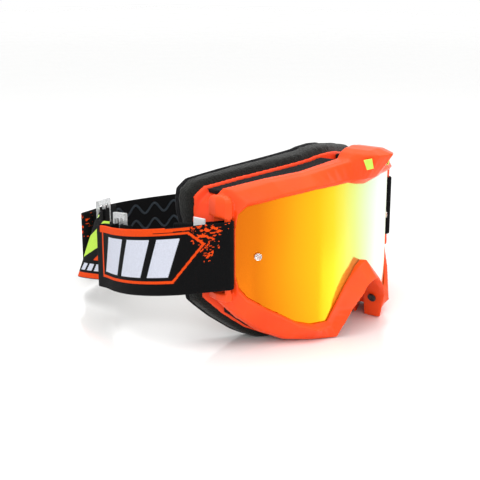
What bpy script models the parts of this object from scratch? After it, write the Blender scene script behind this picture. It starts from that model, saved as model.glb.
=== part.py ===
"""Motocross goggles, standing on the cheeks of the frame with the strap hanging in a loose loop behind.

Right and left are the wearer's: the lens faces -Y, the wearer's right is -X, and +Z is up.
All the sizes below are in millimetres; UNIT turns them into metres when a mesh is made.
"""

import math

import bmesh
import bpy
from mathutils import Vector

UNIT = 0.001
GAP = 0.3  # clearance left between pieces that touch
SHIFT_X, SHIFT_Y = 8.94, -114.34  # put the origin under the middle of the whole piece, strap included
SHARP_ANGLE = 28.0  # edges sharper than this, in degrees, stay crisp

# Lens: a cylinder with upright generatrices, its front at Y = 0 in the middle
LENS_RADIUS = 120.0
LENS_THICK = 1.2
LENS_STEP = 6.0
LENS_OVERLAP = 2.2  # how far the lens reaches behind the frame's lip

# Frame stations, from the top middle round the right side to the middle of the nose arch.
# lip: edge of the lens opening (x, z); ridge, face, crown: front points of the moulding (x, y, z);
# back: how far back the moulding reaches; rim: outline of the flange behind (x, z), the crown's if not given
STATIONS = [
    dict(lip=(0, 106.5), ridge=(0, -11.5, 112.7), face=(0, -25, 130.0), crown=(0, -13, 133.0), back=9,
         rim=(0, 125.5)),
    dict(lip=(9, 107.6), ridge=(8, -9, 112.2), face=(8, -20, 129.5), crown=(9, -11, 132.0), back=9,
         rim=(9, 124.8)),
    dict(lip=(14, 108.8), ridge=(13.5, -6, 112), face=(13, -9, 128.4), crown=(13.5, -5, 130.0), back=9.5,
         rim=(13.5, 124.2)),
    dict(lip=(18, 109.6), ridge=(18, -2.5, 111.8), face=(17, -1.5, 124.4), crown=(17, 1, 125.6), back=10,
         rim=(17.2, 123.2)),
    dict(lip=(45, 108), ridge=(45.5, 5.5, 110.5), face=(46, 12.5, 118), crown=(46, 15, 119.4), back=21,
         rim=(45.9, 118.8)),
    dict(lip=(67, 104.5), ridge=(68, 17, 107), face=(70, 25, 115.2), crown=(70, 28, 116.6), back=33,
         rim=(69.4, 114.4)),
    dict(lip=(85, 99.5), ridge=(87.5, 31.5, 102), face=(89.5, 41, 109), crown=(91.5, 46, 111), back=50,
         rim=(89, 109.4)),
    dict(lip=(89.5, 94), ridge=(92, 36, 95.5), face=(93.5, 44, 102), crown=(96, 51, 104), back=54.5,
         rim=(94.5, 103.4)),
    dict(lip=(90.5, 85), ridge=(92.8, 37.5, 85), face=(93.6, 43, 86), crown=(96.5, 50, 86), back=54.5),
    dict(lip=(90.5, 52), ridge=(92.8, 37.5, 51), face=(93.6, 43, 50), crown=(96.5, 50, 50), back=54.5),
    dict(lip=(89, 43.5), ridge=(91.5, 35.5, 40.5), face=(93, 41, 34), crown=(95.5, 48, 32.5), back=52),
    dict(lip=(85, 36.5), ridge=(86.5, 31, 33), face=(86, 36, 22), crown=(86, 39, 20.5), back=45),
    dict(lip=(75.5, 28.5), ridge=(75.5, 22, 25.5), face=(74, 28, 11), crown=(74, 31, 9.5), back=36),
    dict(lip=(57, 16), ridge=(57, 9, 13), face=(60, 19, 3.2), crown=(60, 22, 2.2), back=27),
    dict(lip=(46, 12.5), ridge=(46, 1.5, 9), face=(44, 9, 0.6), crown=(44, 11, 0), back=20),
    dict(lip=(33.4, 12.4), ridge=(32, 0, 9.5), face=(28, -2, 0.6), crown=(27.5, 0, 0), back=12),
    dict(lip=(27, 22.5), ridge=(26, -0.9, 21.6), face=(20.5, -10.5, 21.5), crown=(20, -7, 21), back=9),
    dict(lip=(18, 35), ridge=(17, -2.6, 34.2), face=(14.5, -13, 29), crown=(14, -9, 28), back=7),
    dict(lip=(6.5, 47.5), ridge=(6, -4.2, 48), face=(7, -14.2, 37), crown=(7.2, -9.5, 35), back=7),
    dict(lip=(0, 51.5), ridge=(0, -6, 52), face=(0, -15, 39.8), crown=(0, -9.5, 37.4), back=7),
]
STATION_STEP = 7.0  # longest stretch between two sections of the frame
LIP_THICK = 1.3
REBATE = 2.5
TOP_VENT = (1, 6)  # first and last station of the vent foams
BOTTOM_VENT = (11, 13)
NOSE_CORNER = 15  # station of the lower corner beside the nose
VENT_INSET = 1.5

# Face frame: the soft flange that carries the face foam, joined to the front by a thin inner wall
FLANGE_MIDDLE = 28.0
FLANGE_SWEEP = 46.0
FLANGE_POWER = 1.6
FLANGE_LEAN = 0.125
FLANGE_TOP = 120.0
FLANGE_THICK = 2.2
HALF_WIDTH = 95.0
WALL_INSET = 3.0
WALL_THICK = 2.5

# Face foam
FOAM_DEPTH = 20.0
FOAM_TAPER = 5.0
FOAM_OVERHANG = 4.5
FOAM_WIDTH = 15.0
FLEECE_THICK = 2.5

# Strap bars of the frame
BAR_X, BAR_Y, BAR_RADIUS = 98.0, 40.0, 2.2
STRAP_WIDTH = 47.0
STRAP_THICK = 1.6
STRAP_BOTTOM = 44.5  # lower edge of the strap at the bars
STRAP_DROOP = 0.168  # fall of the strap for each millimetre behind the bars
LUG_CENTRE = (96.8, 47.5)
LUG_LEVELS = [(0.0, 1.0), (-5.0, 1.0)]  # (height, size): the lower lug, downwards from the slot
SHOULDER_LEVELS = [(0.0, 1.0), (10.5, 1.0), (13.0, 0.86), (14.5, 0.55)]  # the upper lug, rounded off on top
LUG_OUTLINE = [(92.8, 40), (97, 37), (101, 39), (101, 48), (98, 57), (96.3, 57), (96.3, 52), (92.8, 50)]
SLOT_OVER, SLOT_UNDER = 1.5, 4.0  # room over and under the strap in its slot
LAYER = 0.4  # clearance between a strap and what it wraps

# Sliders: three bars across the strap, joined by a rail over it and one under it.
# Places along a slider run towards the frame, and 0 is its middle bar.
SEWN_BAR, FRONT_BAR = -10.0, 8.0
BAR_HALF = 1.5
SLIDER_THICK = 2.5
SLIDER_LOW, SLIDER_HIGH = -4.0, 55.0  # from the lower edge of the strap
RAIL_LOW, RAIL_HIGH = -0.6, 50.8  # inner edges of the two rails
HOOK_RADIUS = 3.3
HOOK_THICK = 1.4
TURN_AT, TURN_RADIUS = -16.0, 3.05
TAIL_END = 24.0
HOOK_TURNS = [250 - 25 * i for i in range(11)]  # degrees round the sewn bar
BEHIND_TURN = (-2.0, -11.0)  # a place on a slider that the outer layer passes after its turn
WRAP_END, WRAP_STEPS = -175.0, 9  # where the strap leaves the frame's bar, in degrees

# Middle of the sewn bar and direction towards the frame of each slider, seen from above
RIGHT_SLIDER = dict(pivot=(-99.0, 147.0), along=(-0.34, -0.94))
LEFT_SLIDER = dict(pivot=(-40.0, 232.0), along=(0.95, 0.31))

# Routes of the strap's outer layer from slider to bar, and of the rear band from slider to slider
RIGHT_ROUTE = [(-119.5, 127), (-124.5, 110), (-126, 94), (-124.5, 79), (-120, 65), (-113.5, 53.5)]
LEFT_ROUTE = [(-13, 252.5), (8, 250.5), (26, 240), (43, 222), (60, 197), (76, 168), (90, 137),
              (101, 104), (107, 78), (108, 62), (105.5, 52)]
REAR_ROUTE = [(-91.5, 164), (-88, 180), (-84.5, 193), (-81, 200), (-74, 205), (-64, 211), (-54, 218)]
REAR_LEAN = (-10.3, 12.3)  # how far the lower edge of the rear band stands out from the upper at its corner
INNER_ROUTE = [(94.9, 42.2), (96.8, 46.5), (99.4, 51.5), (101.6, 58), (102.4, 65)]  # behind the left bar
PATCH_LENGTH, PATCH_THICK, PATCH_SPLAY = 19.0, 4.4, -0.5
PATCH_STEPS = 3
TAG_OUT, TAG_THICK, TAG_WIDE, TAG_TALL, TAG_OVER = 1.8, 0.8, 10.2, 12.0, 3.0
TAG_AHEAD = 3.4  # how far the label starts ahead of the last but one point of the inner route

# Trim
PIN_X, PIN_Z, PIN_RADIUS, PIN_TALL = 79.0, 65.0, 2.6, 2.4
PLUG_SHARE, PLUG_Y, PLUG_RADIUS, PLUG_TALL = 0.8, 1.5, 3.3, 1.2
DISC_EDGE, DISC_TOP = 0.7, 0.85  # shares of a disc's height and radius where its rounded edge starts and ends
BADGE = [(0.02, 0.5), (0.5, 0.44), (0.96, 0.88), (0.48, 0.93)]  # shares across and up the brow's side
BADGE_LIFT, BADGE_THICK = 1.2, 0.8

COLOURS = dict(
    orange=(0.93, 0.09, 0.02), flange=(0.95, 0.10, 0.03), lens=(0.95, 0.55, 0.10),
    lime=(0.62, 0.90, 0.06), foam=(0.05, 0.055, 0.05), fleece=(0.02, 0.02, 0.02),
    filter=(0.015, 0.015, 0.015), strap=(0.015, 0.015, 0.018), clear=(0.85, 0.87, 0.88),
    label=(0.85, 0.85, 0.85), plug=(0.01, 0.01, 0.01),
)


def material(name, colour, roughness=0.5, metallic=0.0):
    made = bpy.data.materials.new(name)
    made.use_nodes = True
    shader = made.node_tree.nodes["Principled BSDF"]
    shader.inputs["Base Color"].default_value = (*COLOURS[colour], 1.0)
    shader.inputs["Roughness"].default_value = roughness
    shader.inputs["Metallic"].default_value = metallic
    return made


def finish(name, bm, colour, roughness=0.5, metallic=0.0, origin=(0, 0, 0)):
    """Makes an object of a mesh in millimetres, with its origin at a point of the model."""
    for vertex in bm.verts:
        vertex.co = [(value - at) * UNIT for value, at in zip(vertex.co, origin)]
    bmesh.ops.remove_doubles(bm, verts=bm.verts, dist=1e-7)
    bmesh.ops.recalc_face_normals(bm, faces=bm.faces)
    mesh = bpy.data.meshes.new(name)
    bm.to_mesh(mesh)
    bm.free()
    mesh.shade_smooth()
    mesh.set_sharp_from_angle(angle=math.radians(SHARP_ANGLE))
    mesh.materials.append(material(name, colour, roughness, metallic))
    made = bpy.data.objects.new(name, mesh)
    made.location = ((origin[0] + SHIFT_X) * UNIT, (origin[1] + SHIFT_Y) * UNIT, origin[2] * UNIT)
    bpy.context.scene.collection.objects.link(made)
    return made


def loft(bm, sections, ring=False):
    """Skins closed sections with the same number of points; a ring joins the last to the first."""
    rows = [[bm.verts.new(point) for point in section] for section in sections]
    count = len(rows[0])
    pairs = list(zip(rows, rows[1:] + (rows[:1] if ring else [])))
    for here, there in pairs:
        for i in range(count):
            j = (i + 1) % count
            bm.faces.new((here[i], here[j], there[j], there[i]))
    if not ring:
        bm.faces.new(rows[0])
        bm.faces.new(rows[-1][::-1])


def mixed(a, b, t):
    return tuple(p + (q - p) * t for p, q in zip(a, b))


def rim_of(station):
    crown = station["crown"]
    return station.get("rim", (crown[0], crown[2]))


def outward(station, distance):
    """The lip's point moved towards the rim, in X and Z."""
    lip, rim = station["lip"], rim_of(station)
    size = math.dist(lip, rim)
    return mixed(lip, rim, distance / size)


def past_rim(station, distance):
    """A point of the line from lip to rim, outside the rim for a positive distance, never under the floor."""
    x, z = outward(station, math.dist(station["lip"], rim_of(station)) + distance)
    return x, max(z, 0.0)


def lens_y(x):
    return LENS_RADIUS - math.sqrt(LENS_RADIUS**2 - x * x)


def flange_y(x, z):
    """Front face of the flange: it sweeps back to the temples and leans forward to the cheeks."""
    sweep = FLANGE_SWEEP * (abs(x) / HALF_WIDTH) ** FLANGE_POWER
    return FLANGE_MIDDLE + sweep - FLANGE_LEAN * (FLANGE_TOP - z)


def foam_back(x, z):
    return flange_y(x, z) + FOAM_DEPTH - FOAM_TAPER * abs(x) / HALF_WIDTH


def between(a, b, t):
    """A station a share t of the way from one to the next."""
    made = {key: mixed(a[key], b[key], t) for key in ("lip", "ridge", "face", "crown")}
    made["back"] = a["back"] + (b["back"] - a["back"]) * t
    made["rim"] = mixed(rim_of(a), rim_of(b), t)
    return made


def refined(stations):
    """The stations with others put between them, so that the curved lens stays clear of the frame."""
    made = []
    for a, b in zip(stations, stations[1:]):
        length = math.dist(a["crown"], b["crown"])
        steps = max(1, math.ceil(length / STATION_STEP))
        made += [between(a, b, step / steps) for step in range(steps)]
    return made + [stations[-1]]


def mirrored(station):
    made = {key: (-station[key][0], *station[key][1:]) for key in ("lip", "ridge", "face", "crown")}
    made["back"] = station["back"]
    made["rim"] = (-rim_of(station)[0], rim_of(station)[1])
    return made


def all_round():
    """Stations all the way round: down the wearer's right (-X), over the nose and up the left."""
    half = refined(STATIONS)
    return [mirrored(station) for station in half] + half[-2:0:-1]


def frame_section(station):
    lip_x, lip_z = station["lip"]
    back_x, back_z = outward(station, REBATE)
    front = lens_y(lip_x) - GAP
    crown = station["crown"]
    return [
        (lip_x, front - LIP_THICK, lip_z), station["ridge"], station["face"], crown,
        (crown[0], station["back"], crown[2]), (back_x, station["back"], back_z),
        (back_x, lens_y(back_x) - GAP, back_z), (lip_x, front, lip_z),
    ]


def box(bm, low, high):
    corners = [(x, y, z) for x in (low[0], high[0]) for y in (low[1], high[1]) for z in (low[2], high[2])]
    verts = [bm.verts.new(corner) for corner in corners]
    for quad in ((0, 1, 3, 2), (4, 6, 7, 5), (0, 4, 5, 1), (2, 3, 7, 6), (0, 2, 6, 4), (1, 5, 7, 3)):
        bm.faces.new([verts[i] for i in quad])


def joined(target, other):
    """Adds a helper solid to an object with a Boolean modifier."""
    other.hide_render = True
    other.display_type = "WIRE"
    modifier = target.modifiers.new(other.name, "BOOLEAN")
    modifier.operation = "UNION"
    modifier.object = other
    modifier.solver = "EXACT"


def lug(name, side, z, levels):
    """One of the two shelves that hold a strap bar off the side of the frame."""
    bm = bmesh.new()
    sections = []
    for rise, size in levels:
        outline = [mixed(LUG_CENTRE, corner, size) for corner in LUG_OUTLINE]
        sections.append([(side * x, y, z + rise) for x, y in outline])
    loft(bm, sections)
    return finish(name, bm, "orange")


def rod(name, x, y, z_low, z_high, radius, sides=12):
    bm = bmesh.new()
    turns = [2 * math.pi * i / sides for i in range(sides)]
    ring = [(x + radius * math.cos(a), y + radius * math.sin(a)) for a in turns]
    loft(bm, [[(*spot, z) for spot in ring] for z in (z_low, z_high)])
    return finish(name, bm, "orange")


def build_frame_front():
    bm = bmesh.new()
    loft(bm, [frame_section(station) for station in all_round()], ring=True)
    frame = finish("frame_front", bm, "orange", 0.42)
    top = STRAP_BOTTOM + STRAP_WIDTH + SLOT_OVER
    bottom = STRAP_BOTTOM - SLOT_UNDER
    for side, name in ((-1, "right"), (1, "left")):
        joined(frame, lug(name + "_upper_lug_shape", side, top, SHOULDER_LEVELS))
        joined(frame, lug(name + "_lower_lug_shape", side, bottom, LUG_LEVELS))
        joined(frame, rod(name + "_bar_shape", side * BAR_X, BAR_Y, bottom - 1, top + 1, BAR_RADIUS))


def build_lens():
    bm = bmesh.new()
    verts = []
    for station in all_round():
        x, z = outward(station, LENS_OVERLAP)
        verts.append(bm.verts.new((x, 0, z)))
    bm.faces.new(verts)
    steps = int(HALF_WIDTH // LENS_STEP)
    for i in range(-steps, steps + 1):
        everything = bm.verts[:] + bm.edges[:] + bm.faces[:]
        bmesh.ops.bisect_plane(bm, geom=everything, plane_co=(i * LENS_STEP, 0, 0), plane_no=(1, 0, 0))
    bmesh.ops.triangulate(bm, faces=bm.faces)
    grown = bmesh.ops.extrude_face_region(bm, geom=bm.faces[:])
    moved = {item for item in grown["geom"] if isinstance(item, bmesh.types.BMVert)}
    for vertex in bm.verts:
        vertex.co.y = lens_y(vertex.co.x) + (LENS_THICK if vertex in moved else 0)
    finish("lens", bm, "lens", 0.05, 0.9)


def ring_body(name, section_of, colour, roughness):
    bm = bmesh.new()
    loft(bm, [section_of(station) for station in all_round()], ring=True)
    return finish(name, bm, colour, roughness)


def face_frame_section(station):
    rim = rim_of(station)
    inner = outward(station, WALL_INSET)
    outer = outward(station, WALL_INSET + WALL_THICK)
    front = station["back"] + GAP
    wall = [(x, front, z) for x, z in (inner, outer)]
    face = [(x, flange_y(x, z), z) for x, z in (outer, rim)]
    back = [(x, flange_y(x, z) + FLANGE_THICK, z) for x, z in (rim, inner)]
    return wall + face + back


def foam_section(station, start, end):
    """A layer of the face foam between two shares of its depth. It stands over the rim at top and bottom."""
    lip, rim = station["lip"], rim_of(station)
    over = FOAM_OVERHANG * abs(rim[1] - lip[1]) / math.dist(lip, rim)
    outer = past_rim(station, over)
    inner = past_rim(station, over - FOAM_WIDTH)
    made = []
    for (x, z), share in ((outer, start), (inner, start), (inner, end), (outer, end)):
        first = flange_y(x, z) + FLANGE_THICK + GAP
        made.append((x, first + (foam_back(x, z) - first) * share, z))
    return made


def build_foam():
    split = 1 - FLEECE_THICK / FOAM_DEPTH
    edge = 2.5 * GAP / FOAM_DEPTH
    ring_body("face_foam", lambda station: foam_section(station, 0, split - edge), "foam", 0.95)
    ring_body("face_fleece", lambda station: foam_section(station, split, 1), "fleece", 0.95)


def vent_section(station):
    inner = outward(station, WALL_INSET + WALL_THICK + GAP)
    outer = past_rim(station, -VENT_INSET)
    front = station["back"] + GAP
    return [
        (inner[0], front, inner[1]), (outer[0], front, outer[1]),
        (outer[0], flange_y(*outer) - GAP, outer[1]), (inner[0], flange_y(*inner) - GAP, inner[1]),
    ]


def build_vents():
    for side, hand in ((1, "left"), (-1, "right")):
        for name, (first, last) in (("top", TOP_VENT), ("bottom", BOTTOM_VENT)):
            stations = refined(STATIONS[first:last + 1])
            if side < 0:
                stations = [mirrored(station) for station in stations]
            bm = bmesh.new()
            loft(bm, [vent_section(station) for station in stations])
            finish(f"{name}_vent_foam_{hand}", bm, "filter", 0.95)


def strap_low(y):
    """Lower edge of the strap: level in front of the bars, then sinking towards the back."""
    return STRAP_BOTTOM - STRAP_DROOP * max(0.0, y - BAR_Y)


def smooth(points, step=6.0):
    """Points of a Catmull-Rom curve through the given ones."""
    ends = [tuple(2 * a - b for a, b in zip(points[0], points[1]))], [
        tuple(2 * a - b for a, b in zip(points[-1], points[-2]))
    ]
    spread = ends[0] + list(points) + ends[1]
    made = []
    for p, a, b, q in zip(spread, spread[1:], spread[2:], spread[3:]):
        count = max(1, round(math.dist(a, b) / step))
        for i in range(count):
            t = i / count
            made.append(tuple(
                a[k] + 0.5 * t * (b[k] - p[k] + t * (2 * p[k] - 5 * a[k] + 4 * b[k] - q[k]
                                                    + t * (3 * (a[k] - b[k]) + q[k] - p[k])))
                for k in range(2)
            ))
    return made + [points[-1]]


def side_offsets(path, distance):
    """The path moved sideways, mitred at its corners. Positive is to the left of its direction."""
    made = []
    for i, point in enumerate(path):
        before = path[max(0, i - 1)]
        after = path[min(len(path) - 1, i + 1)]
        first = math.atan2(point[1] - before[1], point[0] - before[0]) if i else None
        second = math.atan2(after[1] - point[1], after[0] - point[0]) if i < len(path) - 1 else None
        first = second if first is None else first
        second = first if second is None else second
        half = math.remainder(second - first, 2 * math.pi) / 2
        reach = distance / max(0.5, math.cos(half))
        turn = first + half + math.pi / 2
        made.append((point[0] + reach * math.cos(turn), point[1] + reach * math.sin(turn)))
    return made


def ribbon(bm, path, thick, low=0.0, high=STRAP_WIDTH, lean=None):
    """A strip standing on edge along a path, between two heights over the strap's lower edge."""
    left = side_offsets(path, thick / 2)
    right = side_offsets(path, -thick / 2)
    sections = []
    for i, (a, b) in enumerate(zip(left, right)):
        foot = strap_low(path[i][1])
        shift = lean(i) if lean else (0.0, 0.0)
        corners = ((a, low), (b, low), (b, high), (a, high))
        sections.append([
            (x + shift[0] * (0.5 - z / STRAP_WIDTH), y + shift[1] * (0.5 - z / STRAP_WIDTH), foot + z)
            for (x, y), z in corners
        ])
    loft(bm, sections)


def slider_frame(slider):
    """Middle bar, direction towards the frame and inward direction of a slider, seen from above."""
    tx, ty = slider["along"]
    size = math.hypot(tx, ty)
    tx, ty = tx / size, ty / size
    px, py = slider["pivot"]
    inward = (-ty, tx) if slider is RIGHT_SLIDER else (ty, -tx)
    return (px - tx * SEWN_BAR, py - ty * SEWN_BAR), (tx, ty), inward


def on_slider(slider, along, inward):
    middle, t, n = slider_frame(slider)
    return tuple(m + a * along + b * inward for m, a, b in zip(middle, t, n))


def arc(centre, radius, start, end, steps):
    turns = [math.radians(start + (end - start) * i / steps) for i in range(steps + 1)]
    return [(centre[0] + radius * math.cos(a), centre[1] + radius * math.sin(a)) for a in turns]


def build_slider(name, slider):
    """A flat ladder: sewn bar, middle bar and front bar, with a slot on each side of the middle one."""
    bm = bmesh.new()
    cuts = [bar + half for bar in (SEWN_BAR, 0.0, FRONT_BAR) for half in (-BAR_HALF, BAR_HALF)]
    heights = [SLIDER_LOW, RAIL_LOW, RAIL_HIGH, SLIDER_HIGH]
    grid = []
    for along in cuts:
        x, y = on_slider(slider, along, -SLIDER_THICK / 2)
        grid.append([bm.verts.new((x, y, strap_low(y) + z)) for z in heights])
    for i in range(len(cuts) - 1):
        for j in range(len(heights) - 1):
            slot = j == 1 and i % 2 == 1
            if not slot:
                bm.faces.new((grid[i][j], grid[i + 1][j], grid[i + 1][j + 1], grid[i][j + 1]))
    grown = bmesh.ops.extrude_face_region(bm, geom=bm.faces[:])
    inward = slider_frame(slider)[2]
    moved = [item for item in grown["geom"] if isinstance(item, bmesh.types.BMVert)]
    bmesh.ops.translate(bm, verts=moved, vec=(inward[0] * SLIDER_THICK, inward[1] * SLIDER_THICK, 0))
    finish(name, bm, "clear", 0.12, 0.0)


def woven_route(slider):
    """The side band from its tail, over the front bar, under the middle one and round the turn."""
    over = SLIDER_THICK / 2 + LAYER + STRAP_THICK / 2
    clear = HOOK_RADIUS + HOOK_THICK / 2 + LAYER + STRAP_THICK / 2
    first, second = FRONT_BAR / 2, (SEWN_BAR + HOOK_RADIUS + HOOK_THICK / 2 - BAR_HALF) / 2
    local = [(TAIL_END, -over), (first, -over), (first, over), (second, over), (second, -clear)]
    turn = arc((TURN_AT, -clear - TURN_RADIUS), TURN_RADIUS, 90, 270, 8)
    return [on_slider(slider, *point) for point in local + turn]


def bar_wrap(side, last):
    """The strap round the front of a bar, from where the route's last point meets it to the inner side."""
    radius = BAR_RADIUS + LAYER + STRAP_THICK / 2
    dx, dy = abs(last[0]) - BAR_X, last[1] - BAR_Y
    start = math.degrees(math.atan2(dy, dx) - math.acos(radius / math.hypot(dx, dy)))
    return [(side * x, y) for x, y in arc((BAR_X, BAR_Y), radius, start, WRAP_END, WRAP_STEPS)]


def build_side_band(name, side, slider, route):
    path = woven_route(slider)
    path += smooth([path[-1], on_slider(slider, *BEHIND_TURN)] + route)[1:]
    path += bar_wrap(side, route[-1])
    path += [(side * x, y) for x, y in INNER_ROUTE]
    bm = bmesh.new()
    ribbon(bm, path, STRAP_THICK)
    finish(name, bm, "strap", 0.9, 0.0, (side * BAR_X, BAR_Y, 0))


def build_patch(name, side):
    x, y = INNER_ROUTE[-1]
    bm = bmesh.new()
    shares = [i / PATCH_STEPS for i in range(PATCH_STEPS + 1)]
    path = [(side * (x + PATCH_SPLAY * share), y + GAP + PATCH_LENGTH * share) for share in shares]
    ribbon(bm, path, PATCH_THICK)
    finish(name, bm, "strap", 0.95, 0.0, (side * BAR_X, BAR_Y, 0))


def hook(slider, turns):
    """The sewn end of the rear band round a slider's rear bar, up to its inner side."""
    made = []
    for degrees in turns:
        a = math.radians(degrees)
        made.append(on_slider(slider, SEWN_BAR + HOOK_RADIUS * math.sin(a), HOOK_RADIUS * math.cos(a)))
    return made


def build_rear_band():
    start, end = hook(RIGHT_SLIDER, HOOK_TURNS), hook(LEFT_SLIDER, HOOK_TURNS[::-1])
    middle = smooth([start[-1]] + REAR_ROUTE + [end[0]], 4.0)
    path = start[:-1] + middle + end[1:]
    first, last = len(start) - 1, len(start) + len(middle) - 2

    def lean(i):
        share = min(1.0, max(0.0, (i - first) / (last - first)))
        strength = math.sin(math.pi * share) ** 2
        return REAR_LEAN[0] * strength, REAR_LEAN[1] * strength

    bm = bmesh.new()
    ribbon(bm, path, HOOK_THICK, 0.5, STRAP_WIDTH - 0.5, lean)
    finish("rear_band", bm, "strap", 0.9, 0.0, (*RIGHT_SLIDER["pivot"], 0))


def disc(name, centre, axis, radius, thick, colour, roughness, sides=20):
    """A flat round piece whose inner face is at a point, and which stands out along an axis."""
    normal = Vector(axis).normalized()
    across = normal.orthogonal().normalized()
    up = normal.cross(across)
    bm = bmesh.new()
    rings = []
    for height, size in ((0, radius), (thick * DISC_EDGE, radius), (thick, radius * DISC_TOP)):
        turns = [2 * math.pi * i / sides for i in range(sides)]
        middle = Vector(centre) + normal * height
        rings.append([middle + (across * math.cos(a) + up * math.sin(a)) * size for a in turns])
    loft(bm, rings)
    return finish(name, bm, colour, roughness)


def build_trim():
    """Tear-off posts on the lens, plugs in the nose arch and the two coloured badges on the brow."""
    for side, hand in ((1, "left"), (-1, "right")):
        x = side * PIN_X
        slope = x / LENS_RADIUS
        normal = (slope, -math.sqrt(1 - slope * slope), 0)
        foot = (x + normal[0] * GAP, lens_y(x) + normal[1] * GAP, PIN_Z)
        disc(f"lens_pin_{hand}", foot, normal, PIN_RADIUS, PIN_TALL, "clear", 0.3)
        cheek, arch = STATIONS[NOSE_CORNER]["crown"], STATIONS[NOSE_CORNER + 1]["crown"]
        at = mixed(cheek, arch, PLUG_SHARE)
        wall = (-(arch[2] - cheek[2]), 0, arch[0] - cheek[0])
        size = math.hypot(wall[0], wall[2])
        foot = (side * (at[0] + wall[0] / size * GAP), PLUG_Y, at[2] + wall[2] / size * GAP)
        disc(f"nose_plug_{hand}", foot, (side * wall[0], 0, wall[2]), PLUG_RADIUS, PLUG_TALL, "plug", 0.4)
        build_badge(f"brow_badge_{hand}", side)


def build_badge(name, side):
    """A slanted bar on the side of the brow, as a plain mark."""
    near, far = STATIONS[1], STATIONS[2]
    corners = [Vector(station[key]) for station, key in
               ((near, "ridge"), (far, "ridge"), (far, "face"), (near, "face"))]
    normal = (corners[1] - corners[0]).cross(corners[3] - corners[0])
    normal += (corners[3] - corners[2]).cross(corners[1] - corners[2])
    normal = normal.normalized()
    normal = -normal if normal.y > 0 else normal

    def place(u, v, height):
        low, high = corners[0].lerp(corners[1], u), corners[3].lerp(corners[2], u)
        point = low.lerp(high, v) + normal * height
        return side * point.x, point.y, point.z

    bm = bmesh.new()
    loft(bm, [[place(u, v, height) for u, v in BADGE] for height in (BADGE_LIFT, BADGE_LIFT + BADGE_THICK)])
    finish(name, bm, "lime", 0.4)


def build_tag():
    """The folded label held in the seam behind the right bar."""
    x, y = INNER_ROUTE[-2]
    foot = strap_low(y)
    bm = bmesh.new()
    start = y - TAG_AHEAD
    low = (-x - TAG_OUT - TAG_THICK, start, foot + STRAP_WIDTH - TAG_TALL)
    box(bm, low, (-x - TAG_OUT, start + TAG_WIDE, foot + STRAP_WIDTH + TAG_OVER))
    finish("size_tag", bm, "label", 0.8, 0.0, (-BAR_X, BAR_Y, 0))


def clear_scene():
    for old in list(bpy.data.objects):
        bpy.data.objects.remove(old)


def main():
    clear_scene()
    build_frame_front()
    build_lens()
    ring_body("face_frame", face_frame_section, "flange", 0.5)
    build_foam()
    build_vents()
    build_side_band("right_band", -1, RIGHT_SLIDER, RIGHT_ROUTE)
    build_side_band("left_band", 1, LEFT_SLIDER, LEFT_ROUTE)
    build_slider("right_slider", RIGHT_SLIDER)
    build_slider("left_slider", LEFT_SLIDER)
    build_patch("right_anchor_patch", -1)
    build_patch("left_anchor_patch", 1)
    build_rear_band()
    build_tag()
    build_trim()


main()
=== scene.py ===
"""Looks of a pair of motocross goggles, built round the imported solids.

Places are given in the design's millimetres: the lens faces -Y with its front at Y = 0 in the middle, the
wearer's right is -X and the floor is at Z = 0. `at` turns them into the row frame, in metres.
"""
import bisect
import math

import bmesh
import bpy
import numpy as np
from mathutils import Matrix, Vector


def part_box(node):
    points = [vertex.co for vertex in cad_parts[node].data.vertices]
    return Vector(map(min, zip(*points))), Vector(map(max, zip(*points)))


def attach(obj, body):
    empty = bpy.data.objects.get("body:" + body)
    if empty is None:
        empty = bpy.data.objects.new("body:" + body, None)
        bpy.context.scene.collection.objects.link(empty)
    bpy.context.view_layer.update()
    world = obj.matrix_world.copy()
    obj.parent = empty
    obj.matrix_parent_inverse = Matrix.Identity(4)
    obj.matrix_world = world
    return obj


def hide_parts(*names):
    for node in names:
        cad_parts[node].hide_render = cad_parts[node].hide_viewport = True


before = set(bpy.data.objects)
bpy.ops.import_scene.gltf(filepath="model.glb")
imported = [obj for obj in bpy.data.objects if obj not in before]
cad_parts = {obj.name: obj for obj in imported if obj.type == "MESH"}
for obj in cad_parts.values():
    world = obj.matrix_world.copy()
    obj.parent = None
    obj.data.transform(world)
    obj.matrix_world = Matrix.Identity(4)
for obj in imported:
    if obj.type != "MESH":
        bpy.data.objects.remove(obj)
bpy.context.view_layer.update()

MM = 0.001
LENS_LOW, LENS_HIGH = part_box("lens")
ORIGIN = Vector(((LENS_LOW.x + LENS_HIGH.x) / 2, LENS_LOW.y, 0.0))

# Camera: its place in the design frame, degrees and mm
CAMERA_PLACE = (-575.1, -371.0, 246.0)
CAMERA_PITCH, CAMERA_TURN = 75.1, -50.0
SENSOR, FOCAL = 36.0, 73.9

# Lens
LENS_SLICE = 2.5  # size of the squares that the lens is cut into
LENS_THICK = 1.2
LENS_CREASE = 40.0  # degrees, above which an edge of the lens stays sharp

# Surfaces
WELD = 0.02  # points of the solids this close are joined
SMOOTHING = 0.5  # share of the way to its neighbours that a point goes in a round
TURN_STEPS = 36  # points round a turned piece

# Cloth simulation of the face foam
PRESSURE, PRESS_FRAMES, PRESS_QUALITY = 1.2, 12, 4
MOST_BULGE = 1.4  # farthest that any point may go

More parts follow.
